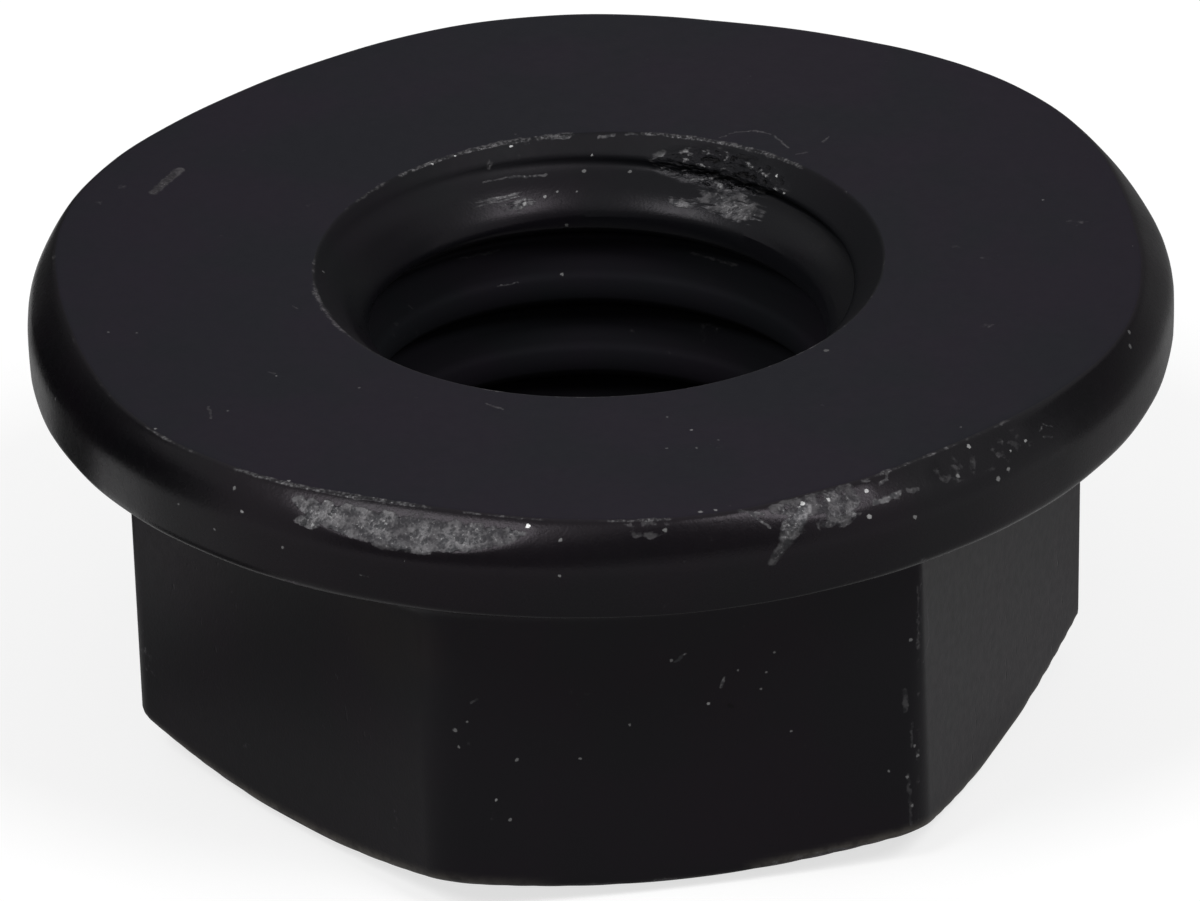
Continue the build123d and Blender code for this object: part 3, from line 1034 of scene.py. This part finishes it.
studio = {
    "floorRadius": 0.3,            # metres
    "floorSides": 96,
    "floorColour": (0.35, 0.35, 0.35, 1),
    "floorGlow": 0.7,              # what the floor shows by itself, so that its shadow stays faint
    "floorPaintedShadow": (0.008, 0.035, 0.3),    # painted shadow: in reflections the glow is darker near the nut, rising between these distances, from this share on
    "matt": 0.9,                   # roughness of the floor and the cards
    "worldStrength": 0.35,
    "lamps": (                     # turn from the camera, elevation, distance and side in metres, radiance
        (-47, 50, 0.65, 0.23, 11.5),
        (48, 50, 0.65, 0.23, 11.5),
    ),
    "cardSteps": 24,               # along each card
    "cardLift": 0.0001,            # off the floor
    # Glowing cards that only reflections show, as painted reflections: those lying on the floor near the nut
    # are painted shadow and light of the floor there, and the standing flags are dark as a photographer
    # stands them around a glossy thing. Turns from the camera, then (distance, height) from edge to edge, and
    # how bright each is.
    "cards": (
        ("leftFoot", (-178, -140), ((0.0118, 0), (0.026, 0)), 0.56),
        ("leftFoot2", (-140, -116), ((0.0118, 0), (0.026, 0)), 0.42),
        ("leftGap", (-116, -98), ((0.0118, 0), (0.026, 0)), 0.03),
        ("leftNear", (-98, -85), ((0.0118, 0), (0.024, 0)), 1.05),
        ("leftShade", (-85, -56), ((0.0092, 0), (0.0142, 0)), 0.1),
        ("leftFlag", (-140, -77), ((0.026, 0), (0.05, 0), (0.05, 0.02)), 0.01),
        ("backFlag", (-176, -140), ((0.026, 0), (0.05, 0), (0.05, 0.02)), 0.1),
        ("leftTop", (-176, -100), ((0.05, 0.02), (0.05, 0.045)), 0.15),
        ("rightFoot", (105, 178), ((0.0125, 0), (0.022, 0)), 0.33),
        ("rightSide", (80, 105), ((0.0125, 0), (0.022, 0)), 0.5),
        ("rightNear", (55, 108), ((0.0068, 0), (0.0125, 0)), 0.46),
        ("rightFlag", (92, 172), ((0.022, 0), (0.05, 0), (0.05, 0.045)), 0.22),
        ("frontFlag", (-50, 35), ((0.05, 0.004), (0.05, 0.045)), 0.3),
    ),
}

view = {
    "azimuth": -9.2,
    "elevation": 27.84,
    "roll": 1.94,
    "lens": 1000.0,
    "sensor": 36.0,
    "pixelsPerMm": 65.0,           # at the middle of the bearing face
    "faceMiddle": (598.7, 263.4),  # where that middle is in the picture
    "picture": (1200, 901),
}


def towards(azimuth, elevation):
    # unit vector to a place seen at that azimuth, where 0 is on the -Y side and 90 on the +X side
    a, e = math.radians(azimuth), math.radians(elevation)
    return Vector((math.sin(a) * math.cos(e), -math.cos(a) * math.cos(e), math.sin(e)))


def stagePiece(name, points, faces, colour):
    mesh = bpy.data.meshes.new(name)
    mesh.from_pydata([tuple(p) for p in points], [], faces)
    piece = bpy.data.objects.new(name, mesh)
    bpy.context.scene.collection.objects.link(piece)
    material = bpy.data.materials.new(name)
    material.use_nodes = True
    shader = material.node_tree.nodes["Principled BSDF"]
    shader.inputs["Base Color"].default_value = colour
    shader.inputs["Roughness"].default_value = studio["matt"]
    shader.inputs["Specular IOR Level"].default_value = 0.0
    piece.data.materials.append(material)
    return piece, shader


def backgroundRays(tree):
    # 1 for what the camera sees straight, and 1 for what glossy reflections show
    camera, through, glossy = (newNode(tree, "LightPath", f"Is {kind} Ray")
                               for kind in ("Camera", "Transmission", "Glossy"))
    return larger(camera, through), glossy


def makeFloor():
    steps = np.linspace(0, 2 * np.pi, studio["floorSides"], endpoint=False)
    ring = np.stack([np.cos(steps), np.sin(steps), 0 * steps], -1) * studio["floorRadius"]
    floor, shader = stagePiece("floor", ring, [list(range(len(ring)))], studio["floorColour"])
    tree = floor.data.materials[0].node_tree
    seen, glossy = backgroundRays(tree)
    away = vectorCalc("LENGTH", newNode(tree, "TexCoord", "Object"))
    inner, outer, least = studio["floorPaintedShadow"]
    # painted shadow around the nut, which only reflections show
    paintedShadowGlow = glossy * ramp(away, inner, outer, least, 1.0)
    shader.inputs["Emission Color"].default_value = (1, 1, 1, 1)
    plug(shader.inputs["Emission Strength"], larger(seen, paintedShadowGlow) * studio["floorGlow"])


def makeCards():
    # each is a strip that bends around the nut, along arcs at its (distance, height) pairs
    steps, lift = studio["cardSteps"], studio["cardLift"]
    for name, turns, profile, level in studio["cards"]:
        out = [towards(view["azimuth"] + turn, 0) for turn in np.linspace(*turns, steps + 1)]
        points = [direction * distance + Vector((0, 0, height + lift))
                  for distance, height in profile for direction in out]
        cells = [(k, k + 1, k + steps + 2, k + steps + 1) for row in range(len(profile) - 1)
                 for k in range(row * (steps + 1), row * (steps + 1) + steps)]
        card, shader = stagePiece(name, points, cells, (0, 0, 0, 1))
        # each glows at its level, a painted reflection that only glossy rays show
        shader.inputs["Emission Color"].default_value = (1, 1, 1, 1)
        shader.inputs["Emission Strength"].default_value = level
        card.visible_camera = False
        card.visible_diffuse = False
        card.visible_shadow = False
        card.visible_transmission = False


def makeWorld():
    world = bpy.data.worlds.new("paleStudio")
    bpy.context.scene.world = world
    world.use_nodes = True
    tree = world.node_tree
    background = tree.nodes["Background"]
    background.inputs["Color"].default_value = (1, 1, 1, 1)
    shown = larger(*backgroundRays(tree))
    plug(background.inputs["Strength"], ramp(shown, 0.0, 1.0, studio["worldStrength"], 1.0))


def makeLamps():
    aim = Vector((0, 0, nutHeight * mm))
    for number, (turn, elevation, distance, side, radiance) in enumerate(studio["lamps"]):
        light = bpy.data.lights.new(f"softbox{number + 1}", "AREA")
        light.shape = "SQUARE"
        light.size = side
        light.energy = radiance * math.pi * side ** 2    # watts that give this radiance
        lamp = bpy.data.objects.new(light.name, light)
        bpy.context.scene.collection.objects.link(lamp)
        out = towards(view["azimuth"] + turn, elevation)
        lamp.location = aim + out * distance
        lamp.rotation_euler = out.to_track_quat("Z", "Y").to_euler()
        lamp.visible_camera = False


def makeCamera():
    camera = bpy.data.cameras.new("camera")
    camera.lens = view["lens"]
    camera.sensor_width = view["sensor"]
    width, height = view["picture"]
    distance = view["lens"] / view["sensor"] * width / view["pixelsPerMm"] * mm
    back = towards(view["azimuth"], view["elevation"])
    level = towards(view["azimuth"] + 90, 0)
    upright = back.cross(level)
    turn = math.radians(view["roll"])
    right = level * math.cos(turn) - upright * math.sin(turn)
    up = level * math.sin(turn) + upright * math.cos(turn)
    # the camera slides sideways, unturned, until the face's middle is at its place in the picture
    x, y = view["faceMiddle"]
    aside = right * (x - width / 2) - up * (y - height / 2)
    place = Vector((0, 0, nutHeight * mm)) + back * distance - aside / view["pixelsPerMm"] * mm
    holder = bpy.data.objects.new("camera", camera)
    bpy.context.scene.collection.objects.link(holder)
    holder.matrix_world = Matrix.Translation(place) @ Matrix((right, up, back)).transposed().to_4x4()
    bpy.context.scene.camera = holder


makeFloor()
makeCards()
makeWorld()
makeLamps()
makeCamera()
bpy.context.scene.view_settings.view_transform = "Standard"
print("studio: floor, world,", len(studio["cards"]), "cards,", len(studio["lamps"]), "softboxes and camera")
